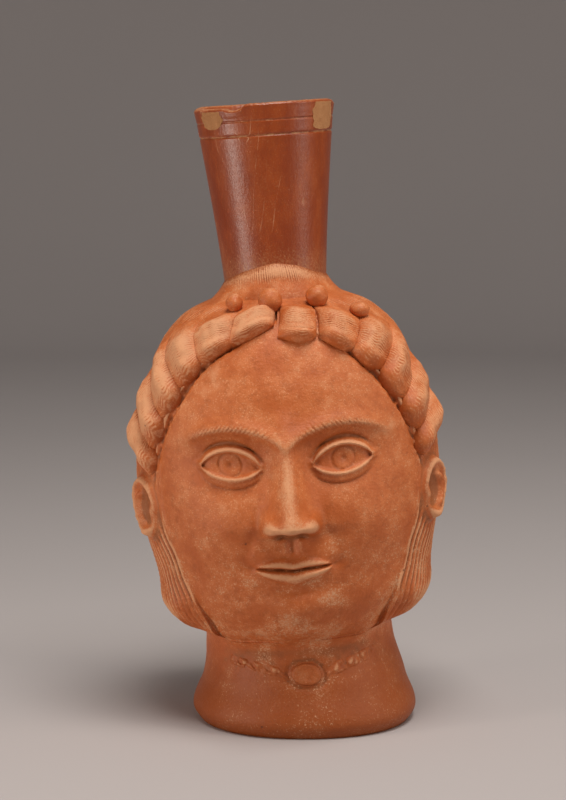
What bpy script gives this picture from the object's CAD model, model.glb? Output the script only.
"""Looks of a terracotta head vase: its moulded head, laid-on hair, thrown neck and studio light."""

import math

import bmesh
import bpy
import numpy as np
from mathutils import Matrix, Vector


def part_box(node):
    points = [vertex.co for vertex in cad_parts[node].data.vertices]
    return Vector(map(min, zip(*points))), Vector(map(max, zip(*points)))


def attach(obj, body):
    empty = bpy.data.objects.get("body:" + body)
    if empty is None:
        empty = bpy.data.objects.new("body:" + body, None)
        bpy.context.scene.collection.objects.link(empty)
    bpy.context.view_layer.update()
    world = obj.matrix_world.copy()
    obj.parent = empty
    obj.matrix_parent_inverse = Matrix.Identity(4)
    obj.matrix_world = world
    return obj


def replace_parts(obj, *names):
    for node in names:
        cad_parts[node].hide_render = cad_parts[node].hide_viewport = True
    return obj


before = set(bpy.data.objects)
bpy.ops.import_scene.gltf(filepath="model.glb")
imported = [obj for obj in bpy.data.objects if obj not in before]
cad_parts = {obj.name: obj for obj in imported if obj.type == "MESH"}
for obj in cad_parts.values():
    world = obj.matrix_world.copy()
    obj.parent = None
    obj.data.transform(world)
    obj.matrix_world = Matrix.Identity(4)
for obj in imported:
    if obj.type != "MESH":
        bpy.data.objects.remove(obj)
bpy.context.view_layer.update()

# Studio setting: pale paper that lies flat round the vase and curves up into a wall on all sides.
# Soft lamps light it, the strongest from above, and the camera looks slightly down.
PAPER_BEND_AT = 1.5
PAPER_BEND_RADIUS = 0.7
PAPER_BEND_STEPS = 24
PAPER_SIDES = 96
PAPER_RISE = 2.2
PAPER_COLOUR = "B3ACAA"
PAPER_CLOUD_COLOUR = "B8B1AF"
PAPER_CLOUD_SIZE = 0.40
SKY_COLOUR = "F4F2F0"
SKY_STRENGTH = 0.26
CAMERA_PLACE = (-0.009, -0.980, 0.2495)
CAMERA_AIM = (-0.009, 0.0, 0.1315)
CAMERA_LENS = 108.0
CAMERA_SENSOR = 36.0
LAMP_AIM = (-0.01, 0.0, 0.13)
# Name, place, width and height, watts and colour of each lamp
LAMPS = (
    ("left_lamp", (-0.62, -0.33, 0.14), (0.11, 0.27), 1.85, "FFF3E6"),
    ("right_lamp", (1.08, -0.46, 0.48), (0.30, 0.90), 4.8, "FFF3E6"),
    ("top_lamp", (0.12, -0.40, 1.22), (0.60, 0.60), 12.6, "FFFCF8"),
)


def linear(code):
    """Linear RGBA of an sRGB hex colour."""
    parts = [int(code[k : k + 2], 16) / 255.0 for k in (0, 2, 4)]
    return tuple(c / 12.92 if c <= 0.04045 else ((c + 0.055) / 1.055) ** 2.4 for c in parts) + (1.0,)


def add(tree, kind, inputs=None, **settings):
    """Add a node: settings are its properties, inputs its socket values or the sockets linked to them."""
    made = tree.nodes.new(kind)
    for name, value in settings.items():
        setattr(made, name, value)
    for key, value in (inputs or {}).items():
        if isinstance(value, bpy.types.NodeSocket):
            tree.links.new(value, made.inputs[key])
        else:
            made.inputs[key].default_value = value
    return made


def new_finish(name, roughness, specular):
    """Start a material: gives it, its node tree, its shader and its object coordinates."""
    made = bpy.data.materials.new(name)
    made.use_nodes = True
    tree = made.node_tree
    shader = tree.nodes["Principled BSDF"]
    shader.inputs["Roughness"].default_value = roughness
    shader.inputs["Specular IOR Level"].default_value = specular
    return made, tree, shader, add(tree, "ShaderNodeTexCoord").outputs["Object"]


# Matt paper: even, with a faint cloudiness that keeps it from looking like a screen.
paper_finish, paper_tree, paper_shader, paper_place = new_finish("matt_backdrop_paper", 0.95, 0.2)
paper_cloud = add(
    paper_tree, "ShaderNodeTexNoise", {"Vector": paper_place, "Scale": 1 / PAPER_CLOUD_SIZE, "Detail": 2.0}
)
paper_mix = add(
    paper_tree,
    "ShaderNodeMix",
    {0: paper_cloud.outputs[0], 6: linear(PAPER_COLOUR), 7: linear(PAPER_CLOUD_COLOUR)},
    data_type="RGBA",
)
paper_tree.links.new(paper_mix.outputs[2], paper_shader.inputs["Base Color"])


def spun(line, steps):
    """Skin made by turning a line of points (far, high) full circle about the upright axis."""
    bm = bmesh.new()
    ends = [bm.verts.new((far, 0.0, high)) for far, high in line]
    edges = [bm.edges.new(pair) for pair in zip(ends, ends[1:])]
    bmesh.ops.spin(
        bm,
        geom=ends + edges,
        cent=(0, 0, 0),
        axis=(0, 0, 1),
        angle=2 * math.pi,
        steps=steps,
        use_merge=True,
    )
    bmesh.ops.remove_doubles(bm, verts=bm.verts[:], dist=1e-5)
    return bm


paper_line = [(0.0, 0.0), (0.5, 0.0), (1.0, 0.0)]
for step in range(PAPER_BEND_STEPS + 1):
    turn = math.radians(90.0 * step / PAPER_BEND_STEPS)
    far = PAPER_BEND_AT + PAPER_BEND_RADIUS * math.sin(turn)
    paper_line.append((far, PAPER_BEND_RADIUS * (1.0 - math.cos(turn))))
paper_line.append((PAPER_BEND_AT + PAPER_BEND_RADIUS, PAPER_RISE))
paper_bm = spun(paper_line, PAPER_SIDES)
bmesh.ops.recalc_face_normals(paper_bm, faces=paper_bm.faces[:])
if sum(face.normal.z for face in paper_bm.faces) < 0:
    bmesh.ops.reverse_faces(paper_bm, faces=paper_bm.faces[:])
paper_mesh = bpy.data.meshes.new("backdrop_paper")
paper_bm.to_mesh(paper_mesh)
paper_bm.free()
paper_mesh.shade_smooth()
paper_mesh.materials.append(paper_finish)
paper = bpy.data.objects.new("backdrop_paper", paper_mesh)
bpy.context.scene.collection.objects.link(paper)

world = bpy.data.worlds.new("studio")
bpy.context.scene.world = world
world.use_nodes = True
world.node_tree.nodes["Background"].inputs["Color"].default_value = linear(SKY_COLOUR)
world.node_tree.nodes["Background"].inputs["Strength"].default_value = SKY_STRENGTH


def aimed(made, place, aim):
    """Put a lamp or the camera at a place and turn it to look at a point."""
    made.location = place
    direction = made.location.copy()
    direction.xyz = [a - b for a, b in zip(aim, place)]
    made.rotation_euler = direction.to_track_quat("-Z", "Y").to_euler()
    bpy.context.scene.collection.objects.link(made)


for lamp_name, lamp_place, lamp_size, lamp_watts, lamp_colour in LAMPS:
    lamp = bpy.data.lights.new(lamp_name, "AREA")
    lamp.shape = "RECTANGLE"
    lamp.size, lamp.size_y = lamp_size
    lamp.energy = lamp_watts
    lamp.color = linear(lamp_colour)[:3]
    aimed(bpy.data.objects.new(lamp_name, lamp), lamp_place, LAMP_AIM)

camera = bpy.data.cameras.new("camera")
camera.lens = CAMERA_LENS
camera.sensor_width = CAMERA_SENSOR
camera_object = bpy.data.objects.new("camera", camera)
aimed(camera_object, CAMERA_PLACE, CAMERA_AIM)
bpy.context.scene.camera = camera_object
bpy.context.scene.view_settings.view_transform = "Standard"

# Moulded head: two halves of red-slipped clay pressed in a mould and luted along the sides.
# Each half is one wall from the foot ring up to the landing of the neck, with the face, the ears
# and the combed hair raised on its outside and the hollow of the vase inside.
LEAN_DEGREES = 3.85
LEAN_PIVOT = 0.002
LEAN_START = 0.013
LEAN_SPAN = 0.021
MOULD_WALL = 0.0062
SLAB_THICKNESS = 0.0070
SLAB_RADIUS = 0.0352
SPIGOT_RADIUS = 0.0172
SECTION_SQUARENESS = 2.12
CHIN_HEIGHT = 0.0445
LANDING_HEIGHT = 0.176
THROAT_HEIGHT = 0.0325
THROAT_RADIUS = 0.0389
LEDGE_HEIGHT = 0.0452
ROOT_HEIGHT = 0.0405
# Height, half width, depth to the front and depth to the back of each section
SECTIONS = np.array(
    [
        (0.0000, 0.0432, 0.0432, 0.0432),
        (0.0035, 0.0457, 0.0457, 0.0457),
        (0.0180, 0.0421, 0.0421, 0.0421),
        (THROAT_HEIGHT, THROAT_RADIUS, THROAT_RADIUS, THROAT_RADIUS),
        (ROOT_HEIGHT, 0.0390, 0.0390, 0.0390),
        (LEDGE_HEIGHT, 0.0486, 0.0458, 0.0496),
        (0.0525, 0.0531, 0.0514, 0.0553),
        (0.0705, 0.0576, 0.0545, 0.0590),
        (0.0895, 0.0617, 0.0568, 0.0628),
        (0.1105, 0.0622, 0.0578, 0.0642),
        (0.1305, 0.0601, 0.0568, 0.0622),
        (0.1470, 0.0538, 0.0524, 0.0566),
        (0.1600, 0.0482, 0.0462, 0.0496),
        (0.1700, 0.0386, 0.0376, 0.0390),
        (LANDING_HEIGHT, 0.0256, 0.0256, 0.0256),
    ]
)
SECTION_PLACES = np.concatenate(
    ([0.0], np.cumsum(np.hypot(np.diff(SECTIONS[:, 0]), np.diff(SECTIONS[:, 1]))))
)


def smooth(low, high, value):
    """Rise from 0 at low to 1 at high, with level ends."""
    share = np.clip((value - low) / (high - low), 0.0, 1.0)
    return share * share * (3.0 - 2.0 * share)


def hill(across, along, wide, tall):
    """Rounded hill of height 1 with the given half sizes."""
    return np.exp(-((across / wide) ** 2) - (along / tall) ** 2)


def ridge(offset, width):
    """Rounded bead of height 1 along a line, seen across it."""
    return np.exp(-((offset / width) ** 2))


def through(places, knots, values):
    """Smooth curve through values at increasing knots, read at the given places."""
    knots = np.asarray(knots, float)
    values = np.asarray(values, float)
    step = np.diff(knots)
    chord = np.diff(values) / step
    slope = np.empty_like(values)
    slope[0] = chord[0]
    slope[-1] = chord[-1]
    slope[1:-1] = (chord[:-1] * step[1:] + chord[1:] * step[:-1]) / (step[:-1] + step[1:])
    span = np.clip(np.searchsorted(knots, places, side="right") - 1, 0, len(step) - 1)
    share = (places - knots[span]) / step[span]
    rest = 1.0 - share
    ends = values[span] * (1 + 2 * share) * rest**2 + values[span + 1] * (3 - 2 * share) * share**2
    leans = slope[span] * share * rest**2 - slope[span + 1] * rest * share**2
    return ends + leans * step[span]


def rows_of(places):
    """Height, half width, front and back depth of the outer wall at places along its profile."""
    return np.stack([through(places, SECTION_PLACES, SECTIONS[:, k]) for k in range(4)], axis=-1)


def place_at(height):
    """Place along the outer profile of a height on the head or throat."""
    fine = np.linspace(0.0, SECTION_PLACES[-1], 4000)
    return np.interp(height, rows_of(fine)[:, 0], fine)


def ring(row, angle):
    """Points of sections (height, half width, front, back) at angles from the front."""
    power = 2.0 / SECTION_SQUARENESS
    side = np.sin(angle)
    ahead = np.cos(angle)
    depth = np.where(ahead > 0, row[..., 2], row[..., 3])
    x = row[..., 1] * np.sign(side) * np.abs(side) ** power
    y = -depth * np.sign(ahead) * np.abs(ahead) ** power
    return np.stack([x, y, row[..., 0] + 0 * angle], axis=-1)


def lean(points):
    """Tip points above the foot toward -X, gently at first and then as one stiff body."""
    turn = -math.radians(LEAN_DEGREES) * smooth(LEAN_START, LEAN_START + LEAN_SPAN, points[..., 2])
    x = points[..., 0]
    z = points[..., 2] - LEAN_PIVOT
    leaned_x = x * np.cos(turn) + z * np.sin(turn)
    leaned_z = z * np.cos(turn) - x * np.sin(turn) + LEAN_PIVOT
    return np.stack([leaned_x, points[..., 1], leaned_z], axis=-1)


def outward(points):
    """Outward directions of a grid of points whose rows climb and whose columns turn to +X."""
    normal = np.cross(np.gradient(points, axis=1), np.gradient(points, axis=0))
    return normal / np.maximum(np.linalg.norm(normal, axis=-1, keepdims=True), 1e-12)


def softened(grid, reach):
    """Grid of values averaged over reach cells each way."""
    size = 2 * reach + 1
    for axis in (0, 1):
        pad = [(0, 0), (0, 0)]
        pad[axis] = (reach + 1, reach)
        total = np.cumsum(np.pad(grid, pad, mode="edge"), axis=axis)
        ahead = np.take(total, range(size, total.shape[axis]), axis=axis)
        behind = np.take(total, range(0, total.shape[axis] - size), axis=axis)
        grid = (ahead - behind) / size
    return grid


def hairline(height):
    """Angle from the front at which the face meets the hair."""
    shares = (0.0, 0.12, 0.25, 0.395, 0.55, 0.645, 0.755, 0.83, 0.88, 0.945, 0.99)
    degrees = (42.5, 46.5, 51.0, 54.5, 54.5, 51.5, 45.0, 35.0, 22.0, 6.0, 0.0)
    share = np.clip((height - CHIN_HEIGHT) / (LANDING_HEIGHT - CHIN_HEIGHT), 0.0, 0.99)
    return np.radians(through(share, shares, degrees))


# Face, set out by equal thirds from chin to hairline and by the width of an eye
FACE_THIRD = 0.0410
EYE_WIDTH = 0.0220
EYE_HEIGHT = 0.1130
NOSE_BASE = CHIN_HEIGHT + FACE_THIRD
BROW_LINE = NOSE_BASE + FACE_THIRD
MOUTH_HEIGHT = NOSE_BASE - FACE_THIRD / 3
MOUTH_HALF_WIDTH = 0.0158

SOCKET_DEPTH = 0.0050
LID_ARCH_UP = 0.0059
LID_ARCH_DOWN = 0.0040
EYEBALL_RISE = 0.0034
EYEBALL_HALF_HEIGHT = 0.0085
EYE_OPENING_DEPTH = 0.0007
UPPER_LID_RISE = 0.0016
LOWER_LID_RISE = 0.0011
LID_CREASE_DEPTH = 0.0008
IRIS_RADIUS = 0.0046
IRIS_RING_DEPTH = 0.00055
PUPIL_RADIUS = 0.00125
PUPIL_DEPTH = 0.00085


def eye_relief(x, height):
    """Socket, ball, lids, crease and ringed iris of one eye."""
    beside = np.abs(x)
    across = (beside - EYE_WIDTH) / (0.52 * EYE_WIDTH)
    tilt = 0.0007 * across
    up = height - EYE_HEIGHT - tilt
    bow = np.clip(1.0 - across**2, 0.0, 1.0)
    upper = LID_ARCH_UP * bow**0.75
    lower = -LID_ARCH_DOWN * bow**0.85
    near = smooth(1.30, 0.96, np.abs(across))
    relief = -SOCKET_DEPTH * hill(beside - 0.96 * EYE_WIDTH, up - 0.0016, 0.70 * EYE_WIDTH, 0.0100)
    opened = smooth(-0.0004, 0.0004, upper - up) * smooth(-0.0004, 0.0004, up - lower) * near
    ball = np.sqrt(np.clip(1.0 - (0.86 * across) ** 2 - (up / EYEBALL_HALF_HEIGHT) ** 2, 0.0, 1.0))
    relief += EYEBALL_RISE * ball * smooth(1.25, 0.70, np.abs(across))
    relief -= EYE_OPENING_DEPTH * opened
    relief += UPPER_LID_RISE * near * ridge(up - upper - 0.0009, 0.00105)
    relief += LOWER_LID_RISE * near * ridge(up - lower + 0.0008, 0.00095)
    crease = 0.0032 + upper + 0.0006 * bow
    relief -= LID_CREASE_DEPTH * smooth(1.15, 0.75, np.abs(across)) * ridge(up - crease, 0.0008)
    from_iris = np.hypot(beside - EYE_WIDTH, up - 0.0008)
    relief -= IRIS_RING_DEPTH * opened * ridge(from_iris - IRIS_RADIUS, 0.00050)
    relief -= PUPIL_DEPTH * opened * ridge(from_iris, PUPIL_RADIUS)
    return relief


BROW_RISE = 0.0021
BROW_STROKE_SPACING = 0.0017
BROW_STROKE_RISE = 0.0005
BROW_STROKE_DEPTH = 0.0007


def brow_relief(x, height):
    """Arched brow with slanting strokes cut across it."""
    beside = np.abs(x)
    arch = BROW_LINE + 0.0016 - 0.0072 * (beside / EYE_WIDTH - 1.05) ** 2
    off = height - arch
    along = smooth(0.0030, 0.0085, beside) * smooth(0.0420, 0.0330, beside)
    bank = np.where(off > 0, ridge(off, 0.0042), ridge(off, 0.0024))
    relief = BROW_RISE * bank * smooth(0.0460, 0.0300, beside) * smooth(-0.0040, 0.0060, beside)
    stroke = np.abs(np.sin(math.pi * (beside + 0.8 * off) / BROW_STROKE_SPACING))
    cut = BROW_STROKE_RISE - BROW_STROKE_DEPTH * (1.0 - stroke) ** 2
    return relief + along * ridge(off - 0.0002, 0.0020) * cut


NOSE_ROOT_RISE = 0.0036
NOSE_TIP_RISE = 0.0092
NOSE_HALF_WIDTH = 0.0050
NOSE_WIDENING = 0.0026
NOSE_BALL_RISE = 0.0012
NOSE_WING_RISE = 0.0048
NOSE_WING_PLACE = 0.0080
NOSE_WING_GROOVE = 0.0009
NOSTRIL_DEPTH = 0.0028
NOSTRIL_PLACE = 0.0040


def nose_relief(x, height):
    """Straight bridge, rounded tip, wings and nostrils."""
    beside = np.abs(x)
    rise = np.clip((BROW_LINE - height) / FACE_THIRD, -0.3, 1.2)
    bridge = NOSE_ROOT_RISE + NOSE_TIP_RISE * smooth(0.04, 0.97, rise)
    bridge = bridge * smooth(-0.25, 0.16, rise) * smooth(1.04, 0.90, rise)
    half = NOSE_HALF_WIDTH + NOSE_WIDENING * smooth(0.35, 0.95, rise)
    relief = bridge * np.exp(-((beside / half) ** 2.1))
    relief += 0.24 * bridge * ridge(beside, 2.3 * half)
    up = height - NOSE_BASE
    relief += NOSE_BALL_RISE * hill(x, up - 0.0052, 0.0046, 0.0046)
    relief += NOSE_WING_RISE * hill(beside - NOSE_WING_PLACE, up - 0.0040, 0.0034, 0.0043)
    relief -= NOSE_WING_GROOVE * hill(beside - NOSE_WING_PLACE - 0.0048, up - 0.0048, 0.0018, 0.0050)
    return relief - NOSTRIL_DEPTH * hill(beside - NOSTRIL_PLACE, up - 0.0002, 0.0023, 0.0015)


MOUTH_MOUND = 0.0034
UPPER_LIP_HEIGHT = 0.0054
LOWER_LIP_HEIGHT = 0.0064
UPPER_LIP_RISE = 0.0024
LOWER_LIP_RISE = 0.0030
MOUTH_LINE_DEPTH = 0.0013
MOUTH_CORNER_DEPTH = 0.0014
LIP_GROOVE_DEPTH = 0.0009
UNDER_LIP_DEPTH = 0.0017


def mouth_relief(x, height):
    """Closed lips with a bowed upper edge, the groove above and the hollow below them."""
    beside = np.abs(x)
    across = beside / MOUTH_HALF_WIDTH
    bow = np.clip(1.0 - across**2, 0.0, 1.0)
    line = MOUTH_HEIGHT + 0.0007 * across**2 - 0.0006 * ridge(beside, 0.0035)
    upper = UPPER_LIP_HEIGHT * bow**0.8 - 0.0010 * ridge(beside, 0.0026)
    lower = LOWER_LIP_HEIGHT * bow**0.75
    off = height - line
    relief = MOUTH_MOUND * hill(x, off, 0.0210, 0.0125)
    above = np.clip(off / np.maximum(upper, 0.0006), 0.0, 1.0)
    below = np.clip(-off / np.maximum(lower, 0.0006), 0.0, 1.0)
    relief += UPPER_LIP_RISE * bow**0.5 * np.sin(math.pi * above**0.75)
    relief += LOWER_LIP_RISE * bow**0.5 * np.sin(math.pi * below**0.85)
    relief -= MOUTH_LINE_DEPTH * smooth(1.12, 0.90, across) * ridge(off, 0.00075)
    relief -= MOUTH_CORNER_DEPTH * hill(beside - 1.10 * MOUTH_HALF_WIDTH, off - 0.0003, 0.0024, 0.0026)
    groove = smooth(0.0052, 0.0080, off) * smooth(0.0145, 0.0115, off)
    relief += groove * (0.0005 * ridge(beside - 0.0031, 0.0013) - LIP_GROOVE_DEPTH * ridge(beside, 0.0019))
    return relief - UNDER_LIP_DEPTH * hill(x, off + 0.0092, 0.0110, 0.0026)


CHEEK_RISE = 0.0034
CHEEK_SPREAD = 0.0165
CHEEK_FOLD_DEPTH = 0.0007
CHIN_RISE = 0.0046
JAW_HALF_WIDTH = 0.0510
JAW_ROUNDNESS = 2.3
JAW_SETBACK = 0.0026


def face_relief(x, height):
    """Forward relief of the whole face."""
    beside = np.abs(x)
    relief = eye_relief(x, height) + brow_relief(x, height)
    relief += nose_relief(x, height) + mouth_relief(x, height)
    cheek = hill(beside - 1.25 * EYE_WIDTH, height - NOSE_BASE - 0.0015, CHEEK_SPREAD, CHEEK_SPREAD)
    relief += CHEEK_RISE * cheek
    fold = beside - 0.0135 - 0.42 * (NOSE_BASE + 0.0040 - height)
    span = smooth(0.0060, 0.0000, height - NOSE_BASE)
    span = span * smooth(MOUTH_HEIGHT - 0.004, MOUTH_HEIGHT + 0.006, height)
    relief -= CHEEK_FOLD_DEPTH * span * ridge(fold, 0.0022)
    relief += CHIN_RISE * hill(x, height - CHIN_HEIGHT - 0.0090, 0.0132, 0.0096)
    down = np.clip((EYE_HEIGHT - height) / (EYE_HEIGHT - CHIN_HEIGHT), 0.0, 1.0)
    oval = JAW_HALF_WIDTH * (1.0 - down**JAW_ROUNDNESS) ** (1.0 / JAW_ROUNDNESS)
    return relief - JAW_SETBACK * smooth(0.0, 0.0160, beside - oval)


EAR_ANGLE = math.radians(67.5)
EAR_HEIGHT = 0.0955
EAR_HALF_HEIGHT = 0.0125
EAR_HALF_WIDTH = 0.0108
EAR_PROJECTION = 0.0034


def ear_relief(turn, row):
    """Rim, inner fold, hollow, lobe and front flap of an ear, and how far outside it each point lies."""
    up = (row[..., 0] - EAR_HEIGHT) / EAR_HALF_HEIGHT
    across = (turn - EAR_ANGLE) * row[..., 1] / EAR_HALF_WIDTH * (1.0 + 0.30 * np.clip(-up, 0.0, 1.0))
    reach = np.hypot(across, up)
    clock = np.arctan2(across, up)
    rim = ridge(reach - 0.83, 0.15) * (1.0 - 0.90 * ridge(clock + 2.0, 0.80))
    fold = ridge(np.hypot(across - 0.02, up + 0.06) - 0.46, 0.12) * smooth(-0.10, 0.25, across)
    hollow = hill(across + 0.18, up + 0.02, 0.33, 0.46)
    lobe = hill(across + 0.06, up + 0.80, 0.40, 0.26)
    flap = hill(across + 0.66, up + 0.12, 0.17, 0.22)
    relief = 0.42 * smooth(1.12, 0.86, reach) + 0.56 * rim + 0.66 * fold - 0.62 * hollow
    relief = (relief + 0.46 * lobe + 0.40 * flap) * (0.90 + 0.25 * across) * smooth(1.30, 1.00, reach)
    return EAR_PROJECTION * relief, reach


STRANDS_PER_RADIAN = 6.8
STRAND_DEPTH = 0.0013
STRAND_WAVE_LENGTH = 0.0300


def groove_between(count, softness):
    """Rounded strands: 0 on the strand, -1 in the groove at each whole count."""
    return np.abs(np.sin(math.pi * count)) ** softness - 1.0


def strand_relief(turn, height):
    """Combed strands: narrow beside the face, where they follow the hairline, broad and wavy behind."""
    follow = hairline(height) * (1.0 - 0.45 * smooth(1.2, 2.6, turn))
    wave = 0.20 * np.sin(2 * math.pi * height / STRAND_WAVE_LENGTH + 1.2 * turn)
    wave = wave * smooth(1.1, 1.7, turn) * (1.0 - 0.6 * smooth(2.6, 3.14, turn))
    count = (turn - follow) * STRANDS_PER_RADIAN + wave
    broad = smooth(1.30, 1.90, turn)
    stray = 0.16 * np.sin(height / 0.0031 + 9.0 * turn) * (1.0 - broad)
    narrow = groove_between(2.4 * count + stray, 0.7) * (1.0 + 0.25 * np.sin(height / 0.0043 - 17.0 * turn))
    relief = broad * groove_between(count, 0.8) + (0.95 - 0.75 * broad) * narrow
    fine = 0.16 + 0.50 * smooth(0.120, 0.150, height) * smooth(2.1, 1.5, turn)
    return STRAND_DEPTH * (relief + fine * groove_between(6 * count, 0.8))


def unevenness(points, size):
    """Gentle unevenness of hand-finished clay, between about -1 and 1."""
    x, y, z = (points[..., k] / size for k in range(3))
    first = np.sin(5.1 * x + 2.3 * np.sin(3.7 * z + 1.0)) * np.sin(4.3 * y + 1.9 * np.sin(2.9 * x))
    second = np.sin(6.7 * z + 1.7 * np.sin(4.1 * y + 0.5)) * np.sin(3.9 * x - 2.6 * y)
    return 0.5 * (first + second)


# Place of the pendant and necklace, which have a scored seat and hold soil on the throat
PENDANT_HEIGHT = 0.0257
PENDANT_HALF_WIDTH = 0.0053
PENDANT_HALF_HEIGHT = 0.0044
PENDANT_ANGLE = math.radians(2.0)
NECKLACE_ANGLE = math.radians(52.0)
NECKLACE_RISE = 0.0062
# The finish reads fine relief: millimetres above the mean of the cells around a point
MILLIMETRES = 1000.0
RELIEF_CELLS = 5
FACE_RECESS = 0.0014
CREVICE_DEPTH = 0.0023
CREVICE_WIDTH = 0.0018
UNDER_CHIN_HEIGHT = 0.0416
UNDER_CHIN_RISE = 0.0030
HAIR_CORNER_HEIGHT = 0.0525
HAIR_CORNER_RISE = 0.0022
PENDANT_SEAT_DEPTH = 0.0006
HAND_MARK_SIZE = 0.030
HAND_MARK_DEPTH = 0.00018


def slip_thickness(height):
    """How thick the slip lies at a height: it ran down and gathered on the throat and foot."""
    return 0.85 * smooth(0.044, 0.010, height)


def head_wall(row, angle):
    """Outer wall of the head on a grid: its points, fine relief, scuffs and thickness of slip."""
    turn = np.abs(np.where(angle > math.pi, angle - 2 * math.pi, angle))
    height = row[..., 0] + 0 * angle
    ahead = np.cos(angle)
    within = (hairline(height) - turn) * row[..., 1]
    base = ring(row, angle)
    head = smooth(ROOT_HEIGHT, LEDGE_HEIGHT, height)
    inside = smooth(-0.0008, 0.0022, within) * head
    forward = (face_relief(base[..., 0], height) * smooth(0.40, 0.72, ahead) - FACE_RECESS) * inside
    ear, reach = ear_relief(turn, row + 0 * base[..., :1])
    hair = strand_relief(turn, height) * smooth(0.0004, -0.0016, within) * smooth(1.10, 1.35, reach)
    hair = hair * smooth(LEDGE_HEIGHT - 0.0020, LEDGE_HEIGHT + 0.0010, height)
    hair = hair * smooth(LANDING_HEIGHT, LANDING_HEIGHT - 0.0040, height)
    hair = hair * (1.0 - 0.55 * smooth(0.140, 0.160, height))
    lumps = 0.75 + 0.30 * unevenness(base, 0.0045)
    along_hair = smooth(0.104, 0.120, height) * np.where(base[..., 0] < 0, 1.0, smooth(0.42, 0.62, turn))
    inset = 0.0029 - 0.0040 * smooth(0.138, 0.114, height)
    crevice = -CREVICE_DEPTH * ridge(within - inset, CREVICE_WIDTH) * along_hair * (1.5 * lumps - 0.375)
    under_chin = UNDER_CHIN_RISE * ridge(height - UNDER_CHIN_HEIGHT, 0.0048) * smooth(1.05, 0.55, turn)
    corner = HAIR_CORNER_RISE * ridge(height - HAIR_CORNER_HEIGHT, 0.0070)
    corner = corner * smooth(0.75, 1.05, turn) * smooth(2.5, 2.0, turn)
    across = (angle - PENDANT_ANGLE) * THROAT_RADIUS / PENDANT_HALF_WIDTH
    seat = np.hypot(across, (height - PENDANT_HEIGHT) / PENDANT_HALF_HEIGHT)
    outer = hair + ear * (0.80 + 0.25 * lumps) + crevice + under_chin + corner
    outer = outer - PENDANT_SEAT_DEPTH * ridge(seat - 1.30, 0.14)
    outer = outer + HAND_MARK_DEPTH * unevenness(base, HAND_MARK_SIZE) * smooth(0.0, 0.004, height)
    points = base + outward(base) * outer[..., None]
    points[..., 1] -= forward
    total = forward + outer
    relief = MILLIMETRES * (total - softened(total, RELIEF_CELLS)) * (1.0 - 0.60 * inside)
    below_jaw = smooth(0.034, 0.040, height) * smooth(0.064, 0.052, height) * smooth(1.25, 0.95, turn)
    relief = relief * (1.0 - 0.95 * below_jaw)
    sunk = smooth(0.60, 0.10, ear / EAR_PROJECTION) * smooth(0.95, 0.75, reach)
    relief = relief * smooth(0.6, 1.4, reach) ** 0.5 - 0.60 * sunk * (0.5 + lumps)
    beside_face = smooth(0.105, 0.085, height) * smooth(1.7, 1.2, turn) * (1.0 - inside) * head
    relief = relief * (1.0 + 0.7 * beside_face) - 0.12 * (1.0 - inside) * head * smooth(1.0, 1.2, reach)
    crown = smooth(0.150, 0.165, height) * (1.0 - inside)
    relief = relief * (1.0 + crown) + 0.16 * crown
    band = ridge(height - PENDANT_HEIGHT - NECKLACE_RISE * np.clip(turn / NECKLACE_ANGLE, 0.0, 1.0), 0.0052)
    band = band * smooth(1.15, 0.75, turn)
    relief = relief - band * np.clip(0.10 + 0.46 * unevenness(base, 0.0050), 0.0, 0.7)
    scuff = smooth(0.125, 0.060, height) * (0.55 + 0.45 * smooth(-0.2, 0.9, ahead))
    scuff = scuff * (1.0 - 0.45 * smooth(0.030, 0.010, height))
    return points, relief, scuff, slip_thickness(height)


def hollow_rows():
    """Sections of the hollow, from the crown opening down to the slab's seat."""
    heights = np.append(SECTIONS[12:6:-1, 0], 0.0575)
    small = 1e-4
    rise = rows_of(place_at(heights + small)) - rows_of(place_at(heights - small))
    walls = rows_of(place_at(heights))
    walls[:, 1:] -= (MOULD_WALL * np.sqrt(1 + (rise[:, 1] / (2 * small)) ** 2))[:, None]
    throat = THROAT_RADIUS - MOULD_WALL
    above = [(LANDING_HEIGHT, SPIGOT_RADIUS), (LANDING_HEIGHT - MOULD_WALL, SPIGOT_RADIUS)]
    below = [
        (LEDGE_HEIGHT + 0.3 * MOULD_WALL, throat + 0.3 * MOULD_WALL),
        (THROAT_HEIGHT, throat),
        (0.018, throat),
        (SLAB_THICKNESS, SLAB_RADIUS),
        (0.0, SLAB_RADIUS),
    ]
    above, below = ([(h, r, r, r) for h, r in rows] for rows in (above, below))
    return np.concatenate([above, walls, below])


SHARP_EDGE = math.radians(62.0)


def clay_piece(bm, name, finish):
    """Turn a closed bmesh into a smooth piece of the vase with its finish and slot."""
    bmesh.ops.recalc_face_normals(bm, faces=bm.faces[:])
    if bm.calc_volume(signed=True) < 0:
        bmesh.ops.reverse_faces(bm, faces=bm.faces[:])
    mesh = bpy.data.meshes.new(name)
    bm.to_mesh(mesh)
    bm.free()
    mesh.shade_smooth()
    mesh.set_sharp_from_angle(angle=SHARP_EDGE)
    mesh.materials.append(finish)
    piece = bpy.data.objects.new(name, mesh)
    bpy.context.scene.collection.objects.link(piece)
    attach(piece, "root")
    return piece


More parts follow.
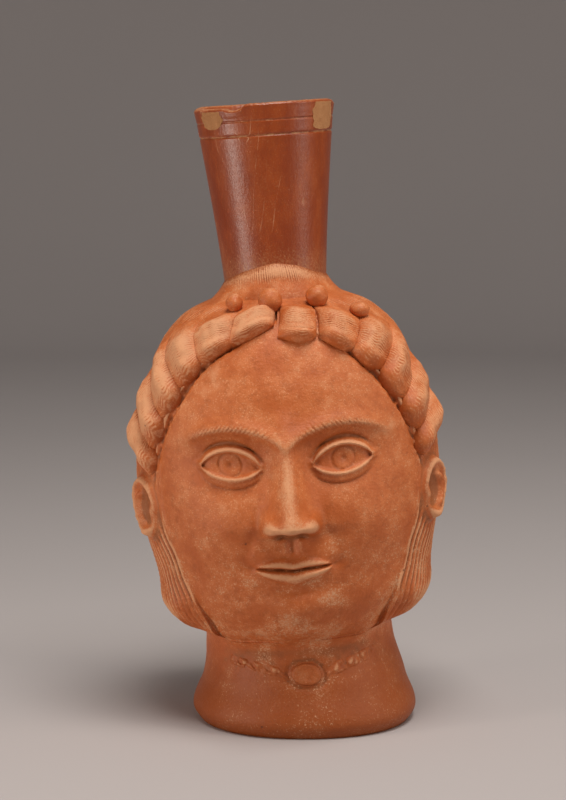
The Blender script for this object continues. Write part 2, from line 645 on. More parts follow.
def wrapped(grid, marks, full):
    """Closed skin over a grid of points: its rows form a loop, and with full its columns too."""
    rows, columns = grid.shape[:2]
    spans = columns if full else columns - 1
    bm = bmesh.new()
    bmesh.ops.create_grid(bm, x_segments=spans, y_segments=rows, size=1.0)
    flat = np.array([v.co for v in bm.verts])
    column = np.rint((flat[:, 0] + 1.0) * 0.5 * spans).astype(int) % columns
    row = np.rint((flat[:, 1] + 1.0) * 0.5 * rows).astype(int) % rows
    layers = [(bm.verts.layers.float.new(key), values[row, column]) for key, values in marks.items()]
    for k, (vert, point) in enumerate(zip(bm.verts, grid[row, column])):
        vert.co = point
        for layer, values in layers:
            vert[layer] = values[k]
    bm.verts.ensure_lookup_table()
    seam = (row == 0) | ((column == 0) & full)
    bmesh.ops.remove_doubles(bm, verts=[bm.verts[k] for k in np.flatnonzero(seam)], dist=1e-8)
    if not full:
        bmesh.ops.holes_fill(bm, edges=[e for e in bm.edges if e.is_boundary], sides=0)
    return bm


# Iron-red slip on moulded terracotta: satin where it is whole, chalky and paler where handling
# has rubbed the raised edges, with tan soil left in the hollows and a scatter of scuffs and pits.
SLIP_DEEP = "B75C26"
SLIP_LIGHT = "C9703A"
SLIP_WORN = "DBA176"
SLIP_THICK = "8F420D"
SLIP_SOIL = "87502A"
SLIP_SCUFF = "D2A37E"
SLIP_PIT = "532813"
# Grain, scuffs and dust are finer on real clay and are drawn coarse enough to show
CLOUD_SIZE = 0.0130
MOTTLE_SIZE = 0.0042
GRAIN_SIZE = 0.0011
SCUFF_SIZE = 0.0008
DUST_SIZE = 0.0006
PIT_SPACING = 0.0160
SCRATCH_SPACING = 0.0045
SCRATCH_STRETCH = 0.012


def slip_finish(name, deep, light, worn, gloss, streaks, scratched, wear):
    """Slip material: cloudy colour, rubbed ridges, soiled hollows, scuffs, pits, scratches and grain."""
    made, tree, shader, place = new_finish(name, gloss, 0.58 - 0.18 * wear)
    shader.inputs["IOR"].default_value = 1.50
    relief, scuffed, thick = (
        add(tree, "ShaderNodeAttribute", attribute_name=mark).outputs["Fac"]
        for mark in ("relief", "scuff", "thick")
    )
    drawn, long_way = (
        add(tree, "ShaderNodeMapping", {"Vector": place, "Scale": (1.0, 1.0, stretch)}).outputs[0]
        for stretch in (streaks, SCRATCH_STRETCH)
    )
    # Coordinates, size, detail and roughness of each noise
    noises = (
        (drawn, CLOUD_SIZE, 6.0, 0.66),
        (drawn, MOTTLE_SIZE, 8.0, 0.78),
        (drawn, GRAIN_SIZE, 3.0, 0.5),
        (place, SCUFF_SIZE, 5.0, 0.72),
        (place, DUST_SIZE, 2.0, 0.5),
        (long_way, SCRATCH_SPACING, 0.0, 0.5),
    )
    cloud, mottle, grain, speck, dust, thread = (
        add(
            tree,
            "ShaderNodeTexNoise",
            {"Vector": at, "Scale": 1 / size, "Detail": detail, "Roughness": rough},
        ).outputs[0]
        for at, size, detail, rough in noises
    )
    pit_from = add(tree, "ShaderNodeTexVoronoi", {"Vector": place, "Scale": 1 / PIT_SPACING}).outputs[0]
    clouded = add(
        tree, "ShaderNodeMapRange", {0: cloud, 1: 0.36, 2: 0.64}, interpolation_type="SMOOTHSTEP"
    ).outputs[0]
    patch = add(tree, "ShaderNodeMath", {0: scuffed, 1: clouded}, operation="MULTIPLY").outputs[0]
    soil_at, rub_at, spot_at = (
        add(tree, "ShaderNodeMath", {0: value, 1: gain, 2: over}, operation="MULTIPLY_ADD").outputs[0]
        for value, gain, over in ((cloud, -0.25, relief), (speck, 0.90, relief), (patch, 0.17, speck))
    )
    # Source of each mark, where it starts and is full, and the most that it covers
    ranges = (
        (mottle, 0.47, 0.68, 0.30 + 0.08 * wear),
        (dust, 0.57, 0.67, 0.15 + 0.45 * wear),
        (cloud, 0.53, 0.74, 0.42 * wear),
        (soil_at, -0.20, -0.80, 0.70),
        (rub_at, 0.50, 0.95, 0.80),
        (spot_at, 0.65, 0.75, 0.72),
        (pit_from, 0.038, 0.020, 0.6),
    )
    mottled, dusted, bloom, soiled, rubbed, spotted, pitted = (
        add(
            tree,
            "ShaderNodeMapRange",
            {0: value, 1: start, 2: full, 3: 0.0, 4: most},
            interpolation_type="SMOOTHSTEP",
        ).outputs[0]
        for value, start, full, most in ranges
    )
    dusted = add(tree, "ShaderNodeMath", {0: dusted, 1: clouded}, operation="MULTIPLY").outputs[0]
    thread = add(tree, "ShaderNodeMath", {0: thread, 1: 0.5, 2: 0.008}, operation="COMPARE").outputs[0]
    lasting = add(tree, "ShaderNodeMapRange", {0: cloud, 1: 0.52, 2: 0.62}).outputs[0]
    for share in (lasting, scratched):
        thread = add(tree, "ShaderNodeMath", {0: thread, 1: share}, operation="MULTIPLY").outputs[0]
    # Colours laid over the deep one, each over the last
    layers = (
        (clouded, light),
        (mottled, SLIP_THICK),
        (dusted, worn),
        (bloom, worn),
        (thick, SLIP_THICK),
        (soiled, SLIP_SOIL),
        (rubbed, worn),
        (spotted, SLIP_SCUFF),
        (pitted, SLIP_PIT),
        (thread, SLIP_SCUFF),
    )
    colour = linear(deep)
    for share, tint in layers:
        mixed = add(tree, "ShaderNodeMix", {0: share, 6: colour, 7: linear(tint)}, data_type="RGBA")
        colour = mixed.outputs[2]
    tree.links.new(colour, shader.inputs["Base Color"])
    bare = add(tree, "ShaderNodeMath", {0: rubbed, 1: spotted}, operation="MAXIMUM").outputs[0]
    polish = add(
        tree, "ShaderNodeMapRange", {0: cloud, 1: 0.3, 2: 0.7, 3: gloss - 0.05, 4: gloss + 0.07}
    ).outputs[0]
    rough = add(tree, "ShaderNodeMath", {0: bare, 1: 0.22, 2: polish}, operation="MULTIPLY_ADD").outputs[0]
    tree.links.new(rough, shader.inputs["Roughness"])
    body = add(tree, "ShaderNodeMath", {0: speck, 1: 0.7, 2: grain}, operation="MULTIPLY_ADD").outputs[0]
    body = add(tree, "ShaderNodeMath", {0: pitted, 1: -1.2, 2: body}, operation="MULTIPLY_ADD").outputs[0]
    bumped = add(
        tree, "ShaderNodeBump", {"Height": body, "Strength": 0.18 + 0.37 * wear, "Distance": 0.0004}
    ).outputs[0]
    tree.links.new(bumped, shader.inputs["Normal"])
    return made


head_slip = slip_finish(
    "worn_red_slip", SLIP_DEEP, SLIP_LIGHT, SLIP_WORN, gloss=0.52, streaks=1.0, scratched=0.0, wear=1.0
)

FACE_ROWS = 268
FACE_COLUMNS = 320
BACK_ROWS = 250
BACK_COLUMNS = 300


def half_of_head(name, back, row_count, columns):
    """One half of the head, with rows and columns drawn together over the face."""
    fine = np.linspace(0.0, SECTION_PLACES[-1], 2000)
    heights = rows_of(fine)[:, 0]
    weight = 1.0 if back else 1.0 + 0.8 * smooth(0.050, 0.062, heights) * smooth(0.140, 0.130, heights)
    spread = np.cumsum(weight + 0 * fine)
    places = np.interp(np.linspace(spread[0], spread[-1], row_count), spread, fine)
    share = np.linspace(-1.0, 1.0, columns + 1)
    angle = 0.5 * math.pi * (0.80 * share + 0.20 * share**3)
    if back:
        angle = math.pi + 0.5 * math.pi * share
    outside, relief, scuff, thick = head_wall(rows_of(places)[:, None, :], angle[None, :])
    inside = ring(hollow_rows()[:, None, :], angle[None, :])
    grid = np.concatenate([outside, inside])
    grid[:, [0, -1], 1] = 0.0
    blank = np.zeros(inside.shape[:2])
    named = {"relief": relief, "scuff": scuff, "thick": thick}
    marks = {key: np.concatenate([values, blank]) for key, values in named.items()}
    bm = wrapped(lean(grid), marks, False)
    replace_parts(clay_piece(bm, name, head_slip), name.replace("moulded_", ""))


half_of_head("moulded_face_half", False, FACE_ROWS, FACE_COLUMNS)
half_of_head("moulded_back_half", True, BACK_ROWS, BACK_COLUMNS)

# Foot slab and inner coils: a disc of plain clay set into the foot ring, and rolled coils pressed
# along the foot and side seams inside. They are unslipped and show only from below or down the neck.
SLAB_RECESS = 0.0004
SLAB_EDGE_ROUND = 0.0006
SLAB_PRESSED = 0.0001

# Bare terracotta: dry and matt, with sandy grit and darker inclusions.
BARE_DEEP = "A8714B"
BARE_LIGHT = "C2906A"
GRIT_SIZE = 0.0009
bare_clay, bare_tree, bare_shader, bare_place = new_finish("bare_terracotta", 0.88, 0.3)
bare_grit, bare_cloud = (
    add(bare_tree, "ShaderNodeTexNoise", {"Vector": bare_place, "Scale": 1 / size, "Detail": 4.0}).outputs[0]
    for size in (GRIT_SIZE, CLOUD_SIZE)
)
bare_tone = add(bare_tree, "ShaderNodeMath", {0: bare_grit, 1: 0.5, 2: bare_cloud}, operation="MULTIPLY_ADD")
bare_share = add(bare_tree, "ShaderNodeMapRange", {0: bare_tone.outputs[0], 1: 0.55, 2: 0.95}).outputs[0]
bare_mix = add(
    bare_tree,
    "ShaderNodeMix",
    {0: bare_share, 6: linear(BARE_DEEP), 7: linear(BARE_LIGHT)},
    data_type="RGBA",
)
bare_tree.links.new(bare_mix.outputs[2], bare_shader.inputs["Base Color"])
bare_bump = add(bare_tree, "ShaderNodeBump", {"Height": bare_grit, "Strength": 0.5, "Distance": 0.0005})
bare_tree.links.new(bare_bump.outputs[0], bare_shader.inputs["Normal"])

slab_bm = bmesh.new()
bmesh.ops.create_cone(
    slab_bm,
    cap_ends=True,
    segments=96,
    radius1=SLAB_RADIUS + SLAB_PRESSED,
    radius2=SLAB_RADIUS + SLAB_PRESSED,
    depth=SLAB_THICKNESS - SLAB_RECESS,
)
bmesh.ops.translate(slab_bm, verts=slab_bm.verts[:], vec=(0, 0, 0.5 * (SLAB_THICKNESS + SLAB_RECESS)))
slab_rims = [e for e in slab_bm.edges if abs(e.verts[0].co.z - e.verts[1].co.z) < 1e-6]
bmesh.ops.bevel(
    slab_bm,
    geom=slab_rims,
    offset=SLAB_EDGE_ROUND,
    offset_type="OFFSET",
    segments=3,
    profile=0.5,
    affect="EDGES",
    material=-1,
)
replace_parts(clay_piece(slab_bm, "clay_foot_slab", bare_clay), "foot_slab")
for coil_name in ("foot_coil", "seam_coil_left", "seam_coil_right"):
    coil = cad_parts[coil_name]
    coil.data.materials.clear()
    coil.data.materials.append(bare_clay)

# Thrown neck: turned on the wheel in fine red-slipped clay, burnished, with two scored lines under
# the rim. Its spigot plugs into the crown, and the lip is chipped and worn.
NECK_BASE_RADIUS = 0.0205
NECK_RIM_RADIUS = 0.0285
NECK_RIM_HEIGHT = 0.2535
NECK_FLARE = 1.25
NECK_WALL = 0.0044
NECK_LIP_ROUND = 0.0014
SPIGOT_LENGTH = 0.0085
SCORED_ZONE = 0.0150
# Drop below the rim, depth and width of each line
SCORED_LINES = ((0.0128, 0.00042, 0.00042), (0.0070, 0.00026, 0.00032))
NECK_COLUMNS = 288
NECK_WALL_ROWS = 70
NECK_SCORED_ROWS = 62
NECK_BORE_ROWS = 30
NECK_LIP_ROWS = 6
WHEEL_MARK_SPACING = 0.0031
WHEEL_MARK_DEPTH = 0.000012
RIM_WEAR_REACH = 0.0065
RIM_NICK_DEPTH = 0.00016
# Angle in degrees, spread to the left and right, and depth of each chip
RIM_CHIPS = ((-26.0, 8.0, 8.0, 0.0012), (86.0, 9.0, 12.0, 0.0013))
LEFT_WEAR = 0.0012
NECK_DEEP = "883405"
NECK_LIGHT = "9C4309"
NECK_WORN = "C08A5C"


def neck_radius(height):
    """Outer radius of the neck at a height."""
    share = np.clip((height - LANDING_HEIGHT) / (NECK_RIM_HEIGHT - LANDING_HEIGHT), 0.0, 1.0)
    return NECK_BASE_RADIUS + (NECK_RIM_RADIUS - NECK_BASE_RADIUS) * share**NECK_FLARE


def rim_loss(degrees):
    """How far the chipped and worn rim lies below its first height."""
    loss = 0 * degrees
    for at, left, right, deep in RIM_CHIPS:
        off = (degrees - at + 180.0) % 360.0 - 180.0
        loss = loss + deep * np.where(off < 0, ridge(off, left), ridge(off, right))
    worn = smooth(-115.0, -80.0, degrees) * smooth(-13.5, -19.5, degrees)
    loss = loss * (1.0 - smooth(-19.5, -13.5, degrees) * (degrees < 20.0)) + LEFT_WEAR * worn
    small = np.sin(0.55 * degrees) * np.sin(0.21 * degrees + 1.3) + np.sin(0.93 * degrees + 0.4) ** 5
    return loss + RIM_NICK_DEPTH * np.abs(small)


def about_neck(far, turn, high):
    """Points at a distance and angle from the axis of the neck, with the front at angle 0."""
    return np.stack([far * np.sin(turn), -far * np.cos(turn), high], axis=-1)


neck_slip = slip_finish(
    "burnished_red_slip",
    NECK_DEEP,
    NECK_LIGHT,
    NECK_WORN,
    gloss=0.34,
    streaks=0.45,
    scratched=0.60,
    wear=0.1,
)
lip_base = NECK_RIM_HEIGHT - NECK_LIP_ROUND
scored_base = NECK_RIM_HEIGHT - SCORED_ZONE
neck_wall = np.concatenate(
    [
        np.linspace(LANDING_HEIGHT, scored_base, NECK_WALL_ROWS),
        np.linspace(scored_base + 0.0002, lip_base, NECK_SCORED_ROWS),
    ]
)
neck_bore = np.linspace(lip_base, LANDING_HEIGHT, NECK_BORE_ROWS)
neck_turn = np.linspace(-math.pi, math.pi, NECK_COLUMNS + 1)[:-1]
scoring = 0 * neck_wall
for below, deep, wide in SCORED_LINES:
    scoring = scoring - deep * ridge(neck_wall - NECK_RIM_HEIGHT + below, wide)
wheel_turns = 2 * math.pi * neck_wall / WHEEL_MARK_SPACING
wheel_marks = WHEEL_MARK_DEPTH * np.sin(wheel_turns + 2.0 * np.sin(neck_wall / 0.0052))
lip_turn = np.linspace(0.0, 0.5 * math.pi, NECK_LIP_ROWS + 1)[1:]
lip_far = NECK_LIP_ROUND * (np.cos(lip_turn) - 1.0)
lip_high = lip_base + NECK_LIP_ROUND * np.sin(lip_turn)
neck_profile = np.concatenate(
    [
        [(SPIGOT_RADIUS, LANDING_HEIGHT - SPIGOT_LENGTH), (SPIGOT_RADIUS, LANDING_HEIGHT)],
        np.stack([neck_radius(neck_wall) + scoring + wheel_marks, neck_wall], axis=-1),
        np.stack([NECK_RIM_RADIUS + lip_far, lip_high], axis=-1),
        np.stack([NECK_RIM_RADIUS - NECK_WALL - lip_far, lip_high], axis=-1)[::-1],
        np.stack([neck_radius(neck_bore) - NECK_WALL, neck_bore], axis=-1),
        [(SPIGOT_RADIUS - NECK_WALL, LANDING_HEIGHT - SPIGOT_LENGTH)],
    ]
)
neck_far = neck_profile[:, 0, None] + 0 * neck_turn
neck_high = neck_profile[:, 1, None] + 0 * neck_turn
neck_lost = rim_loss(np.degrees(neck_turn)) * smooth(NECK_RIM_HEIGHT - RIM_WEAR_REACH, lip_base, neck_high)
below_lines = 0 * neck_profile[len(neck_wall) + 2 :, 0]
scored = np.concatenate([[0, 0], -MILLIMETRES * scoring, below_lines])[:, None]
broken = 0.75 + 0.45 * np.sin(9.0 * neck_turn + 0.8) * np.sin(23.0 * neck_turn)
lip_rubbed = 0.28 * smooth(NECK_RIM_HEIGHT - 0.0011, NECK_RIM_HEIGHT, neck_high)
foot_rubbed = 0.20 * smooth(LANDING_HEIGHT + 0.026, LANDING_HEIGHT + 0.010, neck_high)
near_rim = smooth(NECK_RIM_HEIGHT - 0.004, NECK_RIM_HEIGHT, neck_high)
neck_marks = {
    "relief": scored * broken + lip_rubbed + foot_rubbed,
    "scuff": np.clip(neck_lost / LEFT_WEAR, 0.0, 1.0) * near_rim,
}
neck_grid = about_neck(neck_far, neck_turn, neck_high - neck_lost)
neck_bm = wrapped(lean(neck_grid), neck_marks, True)
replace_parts(clay_piece(neck_bm, "burnished_neck", neck_slip), "thrown_neck")

# Collar: a band of soft clay smeared round the foot of the neck to hold it to the crown,
# smoothed with a wet finger and slipped with the head.
COLLAR_RADIUS = 0.0256
COLLAR_HEIGHT = 0.0068
COLLAR_HUMP = 0.0064
COLLAR_EDGE = 0.0008
COLLAR_LAP = 0.0014
COLLAR_SUNK = 0.0012
COLLAR_BEAD_RISE = 0.0006
COLLAR_HATCH_DEPTH = 0.00011
COLLAR_ROWS = 34
COLLAR_COLUMNS = 640
collar_share = np.linspace(0.0, 1.0, COLLAR_ROWS)[:, None]
collar_turn = np.linspace(-math.pi, math.pi, COLLAR_COLUMNS + 1)[:-1]
collar_wave = np.sin(5 * collar_turn + 0.7) * 0.5 + np.sin(11 * collar_turn + 2.0) * 0.3
collar_front = smooth(1.45, 0.0, np.abs(collar_turn))
collar_low = LANDING_HEIGHT - COLLAR_EDGE
collar_top = LANDING_HEIGHT + COLLAR_HEIGHT + COLLAR_HUMP * collar_front + 0.0004 * collar_wave
collar_high = collar_low + (collar_top - collar_low) * collar_share
collar_in = neck_radius(collar_high) - 0.0001
collar_slope = (1.0 - collar_share) ** (1.3 - 0.55 * collar_front)
collar_bead = COLLAR_BEAD_RISE * ridge(collar_share - 0.78, 0.20)
collar_bead = collar_bead * (0.4 + collar_front) * (1.0 + 0.3 * collar_wave)
collar_hatch = np.sin(170.0 * collar_turn + 9.0 * collar_share + 2.0 * np.sin(13.0 * collar_turn))
collar_patch = np.sin(31.0 * collar_turn + 5.0 * collar_share) * np.sin(19.0 * collar_turn + 1.0)
collar_hatch = COLLAR_HATCH_DEPTH * collar_hatch * (0.55 + 0.45 * collar_patch)
collar_hatch = collar_hatch * ridge(collar_share - 0.70, 0.26) * (0.3 + collar_front)
collar_far = collar_in + (COLLAR_RADIUS + COLLAR_LAP - collar_in) * collar_slope
collar_face = np.stack([collar_far + collar_bead + collar_hatch, collar_high], axis=-1)
collar_back = np.stack([neck_radius(collar_high[::-5]) - COLLAR_SUNK, collar_high[::-5]], axis=-1)
collar_loop = np.concatenate([collar_face, collar_back])
collar_grid = about_neck(collar_loop[..., 0], collar_turn, collar_loop[..., 1])
collar_blank = 0 * collar_back[..., 0]
collar_relief = np.concatenate([460.0 * collar_bead + 2200.0 * collar_hatch + 0.06, collar_blank])
collar_thick = 0.95 * smooth(0.58, 0.98, collar_share - 2600.0 * collar_hatch + 0.06 * collar_wave)
collar_thick = np.concatenate([collar_thick, collar_blank])
collar_bm = wrapped(lean(collar_grid), {"relief": collar_relief, "thick": collar_thick}, True)
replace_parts(clay_piece(collar_bm, "smeared_collar", head_slip), "neck_collar")

# Rim fills: two patches of buff lime paste, pressed soft into old losses under the rim,
# left to set and rubbed flush with the neck.
FILL_DEPTH = 0.0012
FILL_PROUD = 0.00012
FILL_ROUGHNESS = 0.00006
FILL_FACES = (28, 24)
# Side, start and end in degrees, drop below the rim, height and squareness of the lower corners
RIM_FILLS = (
    ("right", 44.5, 75.0, 0.0010, 0.0110, 4.0),
    ("left", -63.0, -37.0, 0.0012, 0.0084, 2.3),
)

# Lime paste: chalky and matt, slightly rough, with faint stains.
PASTE_COLOUR = "BD8B5F"
PASTE_STAIN = "A06B42"
PASTE_STAIN_SIZE = 0.0030
PASTE_GRIT_SIZE = 0.0007
paste, paste_tree, paste_shader, paste_place = new_finish("buff_lime_paste", 0.90, 0.25)
paste_stain, paste_grit = (
    add(
        paste_tree, "ShaderNodeTexNoise", {"Vector": paste_place, "Scale": 1 / size, "Detail": detail}
    ).outputs[0]
    for size, detail in ((PASTE_STAIN_SIZE, 5.0), (PASTE_GRIT_SIZE, 3.0))
)
paste_mix = add(
    paste_tree,
    "ShaderNodeMix",
    {0: paste_stain, 6: linear(PASTE_COLOUR), 7: linear(PASTE_STAIN)},
    data_type="RGBA",
)
paste_tree.links.new(paste_mix.outputs[2], paste_shader.inputs["Base Color"])
paste_bump = add(paste_tree, "ShaderNodeBump", {"Height": paste_grit, "Strength": 0.4, "Distance": 0.0004})
paste_tree.links.new(paste_bump.outputs[0], paste_shader.inputs["Normal"])


def laid_sheet(bm, chart):
    """Thicken a flat sheet and lay it: chart gives each point's place, and its relief, by side."""
    layer = bm.verts.layers.float.new("relief")
    low = list(bm.verts)
    raised = bmesh.ops.extrude_face_region(bm, geom=bm.faces[:])
    high = [g for g in raised["geom"] if isinstance(g, bmesh.types.BMVert)]
    for verts, top in ((low, False), (high, True)):
        sheet = np.array([v.co for v in verts])
        points, relief = chart(sheet[:, 0], sheet[:, 1], top)
        for vert, point, value in zip(verts, lean(points), relief + 0 * sheet[:, 0]):
            vert.co = point
            vert[layer] = value
    return bm


def flat_sheet(across, along):
    """Flat square sheet from -1 to 1 with the given number of faces each way."""
    bm = bmesh.new()
    bmesh.ops.create_grid(bm, x_segments=across, y_segments=along, size=1.0)
    return bm


def fill_chart(start, end, drop, tall, squareness):
    """Chart of a fill: a curved patch with rounded lower corners, flush with the neck."""

    def chart(u, v, top):
        corner = (1.0 - 0.97 * np.abs(v) ** squareness) ** (1.0 / squareness)
        pinch = np.where(v < 0, corner, 1.0 - 0.16 * v**2)
        pinch = pinch * (1.0 + 0.05 * np.sin(5.0 * v + 1.0 + u) + 0.04 * np.sin(11.0 * v + 3.0 * u))
        angle = np.radians(0.5 * (start + end) + 0.5 * (end - start) * u * pinch)
        height = NECK_RIM_HEIGHT - drop - tall * (0.5 - 0.5 * v)
        rough = FILL_ROUGHNESS * unevenness(about_neck(0.03, angle, height), 0.004)
        far = neck_radius(height) + (FILL_PROUD + rough if top else -FILL_DEPTH)
        worn = smooth(NECK_RIM_HEIGHT - RIM_WEAR_REACH, lip_base, height)
        return about_neck(far, angle, height - rim_loss(np.degrees(angle)) * worn), 0 * u

    return chart


for fill_word, fill_start, fill_end, fill_drop, fill_tall, fill_squareness in RIM_FILLS:
    fill_lay = fill_chart(fill_start, fill_end, fill_drop, fill_tall, fill_squareness)
    fill_bm = laid_sheet(flat_sheet(*FILL_FACES), fill_lay)
    fill = clay_piece(fill_bm, "paste_fill_" + fill_word, paste)
    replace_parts(fill, "rim_fill_" + fill_word)

# Hair locks: twelve rolls of soft clay laid side by side from the parting down to the ears,
# pressed on, plumped into waves and combed across with a pointed stick before slipping.
LOCKS_PER_SIDE = 6
LOCK_VALLEY = 0.0016
LOCK_CREST = 0.0040
LOCK_SUNK = 0.0030
LOCK_COMB_LINES = 28
LOCK_COMB_DEPTH = 0.00034
# Share of a lock's length that its rounded front edge takes
LOCK_LIP = 0.17
LOCK_SWELL = 0.00035
LOCK_SWELL_SIZE = 0.0075
LOCK_FACES = (52, 110)
# Left and right: how far the locks hang over the face, and how rubbed they are
LOCK_OVERHANG = (0.055, 0.100)
LOCK_RUBBED = (0.36, 0.15)
# The first lock on the right droops over the forehead like a tongue
TONGUE_OVERHANG = 0.17
TONGUE_GROOVE = 0.0006
SIDES = ((-1.0, "left"), (1.0, "right"))


def rounded(share):
    """Quarter round of an edge: 1 where it begins, 0 at its end."""
    return np.sqrt(1.0 - np.clip(share, 0.0, 1.0) ** 2)


def wall_at(angle, height):
    """Point and outward direction on the smooth outer wall of the head."""
    small = 1e-4

    def point(turn, level):
        return ring(rows_of(place_at(level)), turn)

    around = point(angle + small, height) - point(angle - small, height)
    upward = point(angle, height + small) - point(angle, height - small)
    normal = np.cross(around, upward)
    return point(angle, height), normal / np.linalg.norm(normal, axis=-1, keepdims=True)


def lock_chart(side, number):
    """Chart of one lock, from the hairline (v = -1) outward and back (v = 1)."""
    if side > 0:
        hair_angle = (-1.5, 18.0, 33.0, 45.0, 52.0, 57.5, 60.0)
        hair_share = (0.897, 0.886, 0.840, 0.772, 0.677, 0.578, 0.494)
    else:
        hair_angle = (1.8, 22.0, 36.0, 46.0, 52.5, 57.5, 60.0)
        hair_share = (0.928, 0.878, 0.829, 0.757, 0.665, 0.570, 0.487)
    back_angle = (0.5, 24.0, 51.0, 74.0, 83.0, 86.5, 87.5)
    back_share = (0.992, 0.985, 0.962, 0.918, 0.840, 0.734, 0.612)
    knots = np.arange(LOCKS_PER_SIDE + 1)

    def chart(u, v, top):
        bulge = 1.0 - u**2
        along = 0.5 + 0.5 * v
        tongue = side > 0 and number == 1
        overhang = TONGUE_OVERHANG if tongue else LOCK_OVERHANG[side > 0]
        reach = along - overhang * bulge * (1.0 - along)
        bend = 0.10 * np.sin(math.pi * along + number) * bulge
        spread = 0.44 if tongue else 0.5
        order = np.clip(number - 0.5 + spread * u + bend, 0.0, LOCKS_PER_SIDE)
        front = through(order, knots, hair_angle), through(order, knots, hair_share)
        rear = through(order, knots, back_angle), through(order, knots, back_share)
        angle = np.radians(front[0] + (rear[0] - front[0]) * reach)
        share = front[1] + (rear[1] - front[1]) * reach
        height = CHIN_HEIGHT + (LANDING_HEIGHT - CHIN_HEIGHT) * share
        lip = rounded(1.0 - along / LOCK_LIP)
        fade = smooth(1.0, 0.50, along)
        skew = u + 0.18 * (1.0 - u**2)
        crest = (1.0 - np.abs(skew) ** 1.8) * (1.0 - 0.25 * along)
        wave = 1.0 + 0.16 * np.sin(10.0 * along + 1.3 * number) * smooth(0.1, 0.3, along)
        full = (LOCK_VALLEY + LOCK_CREST * crest) * lip * fade * wave
        if number == 1:
            full = full * rounded((-u - 0.55) / 0.45)
        wander = 0.30 * np.sin(5.0 * u + number) + 0.20 * np.sin(9.0 * u + 2.3 * number + 9.0 * along)
        comb = LOCK_COMB_LINES * along + 0.7 * bulge + wander
        depth = 0.70 + 0.30 * np.sin(7.0 * u + 13.0 * along + number) * np.sin(17.0 * along - 4.0 * u)
        line = depth * groove_between(comb, 0.7) * smooth(0.06, 0.18, along)
        cut = LOCK_COMB_DEPTH * line
        if tongue:
            corner = np.clip((np.abs(u) - 0.40) / 0.60, 0.0, 1.0) ** 2 * smooth(0.60, 0.10, along)
            full = full * np.sqrt(1.0 - 0.9 * corner)
            groove = ridge(along - LOCK_LIP - 0.06 * u**2, 0.035) * smooth(0.9, 0.5, np.abs(u))
            cut = cut - TONGUE_GROOVE * groove
        point, normal = wall_at(side * angle, height)
        proud = full + cut if top else -LOCK_SUNK + 0 * u
        swell = unevenness(point, LOCK_SWELL_SIZE)
        rubbed = 0.20 * crest - 0.34 * smooth(0.22, 0.0, along) + 0.12 * swell
        broken = smooth(-0.5, 0.6, np.sin(11.0 * u + 3.0 * along + number) + np.sin(29.0 * along + 2.0 * u))
        fine = broken * depth * (groove_between(comb, 1.6) + 0.42)
        relief = rubbed * fade + 0.74 * fine
        relief = relief + LOCK_RUBBED[side > 0] * smooth(0.95, 0.40, along)
        relief = relief - 0.05 * smooth(0.6, 0.9, along)
        if top:
            proud = proud + LOCK_SWELL * swell * smooth(0.0, 0.1, along) * fade
        return point + normal * proud[:, None], relief if top else 0 * u

    return chart


for side, word in SIDES:
    for number in range(1, LOCKS_PER_SIDE + 1):
        lock_bm = laid_sheet(flat_sheet(*LOCK_FACES), lock_chart(side, number))
        lock = clay_piece(lock_bm, f"combed_lock_{word}_{number}", head_slip)
        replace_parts(lock, f"hair_lock_{word}_{number}")

# Berries: four pellets of clay rolled between the fingers and pressed in front of the neck.
# They are rubbed on top, and no two are quite alike.
BERRY_DEPTH = 0.95
BERRY_SWELL = 0.00022
BERRY_SWELL_SIZE = 0.0060
# Width and height as shares of a round pellet, and how deep each is pressed in
BERRY_SHAPES = ((0.74, 0.80, 0.0012), (1.04, 1.10, 0.0009), (0.97, 0.98, 0.0007), (0.88, 0.70, 0.0016))
for number, (wide, tall, sunk) in enumerate(BERRY_SHAPES, start=1):
    low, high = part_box(f"berry_{number}")
    berry_bm = bmesh.new()
    bmesh.ops.create_uvsphere(berry_bm, u_segments=48, v_segments=32, radius=0.5 * (high.z - low.z))
    bmesh.ops.scale(berry_bm, verts=berry_bm.verts[:], vec=(wide, BERRY_DEPTH, tall))
    middle = 0.5 * (low + high)
    middle.z -= sunk
    bmesh.ops.translate(berry_bm, verts=berry_bm.verts[:], vec=middle)
    berry_layer = berry_bm.verts.layers.float.new("relief")
    berry_points = np.array([v.co for v in berry_bm.verts])
    for vert, swell in zip(berry_bm.verts, unevenness(berry_points, BERRY_SWELL_SIZE)):
        vert.co += vert.normal * BERRY_SWELL * swell
        vert[berry_layer] = 0.22 * vert.normal.z + 0.16 * swell - 0.02
    berry = clay_piece(berry_bm, f"clay_berry_{number}", head_slip)
    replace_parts(berry, f"berry_{number}")

# Pendant and necklace: an oval roundel and two strips of clay pressed on the throat.
# The roundel is a flat disc with a low rim, and the strips carry worn, broken beading.
PENDANT_THICKNESS = 0.0015
NECKLACE_HALF_WIDTH = 0.0026
NECKLACE_THICKNESS = 0.0011
BEAD_COUNT = 9
PENDANT_RINGS = 24
PENDANT_SPOKES = 72
NECKLACE_FACES = (110, 14)
RELIEF_SUNK = 0.0010


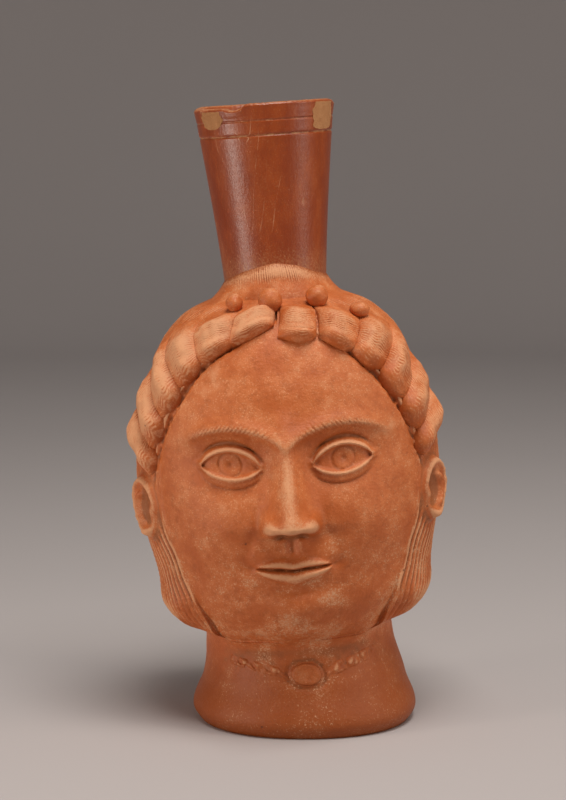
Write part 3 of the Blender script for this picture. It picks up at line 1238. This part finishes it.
def pendant_chart(u, v, top):
    """Oval roundel with a low rim round a slightly uneven middle."""
    angle = PENDANT_ANGLE + u * PENDANT_HALF_WIDTH / THROAT_RADIUS
    height = PENDANT_HEIGHT + v * PENDANT_HALF_HEIGHT
    reach = np.hypot(u, v)
    form = 0.72 + 0.14 * ridge(reach - 0.70, 0.16) + 0.05 * np.sin(9.0 * u + 2.0) * np.sin(8.0 * v + 1.0)
    form = form * rounded((reach - 0.82) / 0.18)
    point, normal = wall_at(angle, height)
    proud = PENDANT_THICKNESS * form if top else -RELIEF_SUNK + 0 * u
    return point + normal * proud[:, None], 0.5 * (form - 0.74) if top else 0 * u


def necklace_chart(side):
    """Chart of one strip, from beside the pendant up round the throat."""
    start = PENDANT_HALF_WIDTH / THROAT_RADIUS + 0.02

    def chart(u, v, top):
        along = 0.5 + 0.5 * u
        turn = start + along * (NECKLACE_ANGLE - start)
        height = PENDANT_HEIGHT + NECKLACE_RISE * along**0.8 + v * NECKLACE_HALF_WIDTH
        bead = 0.70 + 0.30 * np.abs(np.sin(math.pi * BEAD_COUNT * along)) ** 0.5
        spot = np.stack([0.030 * along, 0.0026 * v, 0.010 * side + 0 * v], axis=-1)
        lumps = unevenness(spot, 0.0042) + 0.5 * unevenness(spot, 0.0090)
        worn = np.clip(0.34 + 0.80 * lumps, -0.3, 1.0) * smooth(1.0, 0.7, along)
        form = bead * worn * np.clip(1.0 - v**2, 0.0, 1.0) ** 0.8 * smooth(1.0, 0.9, np.abs(u))
        form = form - 0.35 * smooth(0.6, 1.0, np.maximum(np.abs(u), np.abs(v)))
        point, normal = wall_at(PENDANT_ANGLE + side * turn, height)
        proud = NECKLACE_THICKNESS * form if top else -RELIEF_SUNK + 0 * u
        return point + normal * proud[:, None], 0.55 * form - 0.10 if top else 0 * u

    return chart


def gathered_slip(bm):
    """Mark a piece on the throat with the thick slip that covers the throat."""
    layer = bm.verts.layers.float.new("thick")
    for vert in bm.verts:
        vert[layer] = float(slip_thickness(vert.co.z))


pendant_bm = spun([(k / PENDANT_RINGS, 0.0) for k in range(PENDANT_RINGS + 1)], PENDANT_SPOKES)
laid_sheet(pendant_bm, pendant_chart)
gathered_slip(pendant_bm)
pendant = clay_piece(pendant_bm, "clay_pendant", head_slip)
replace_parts(pendant, "pendant")
for side, word in SIDES:
    strip_bm = laid_sheet(flat_sheet(*NECKLACE_FACES), necklace_chart(side))
    gathered_slip(strip_bm)
    strip = clay_piece(strip_bm, "clay_necklace_" + word, head_slip)
    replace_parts(strip, "necklace_" + word)
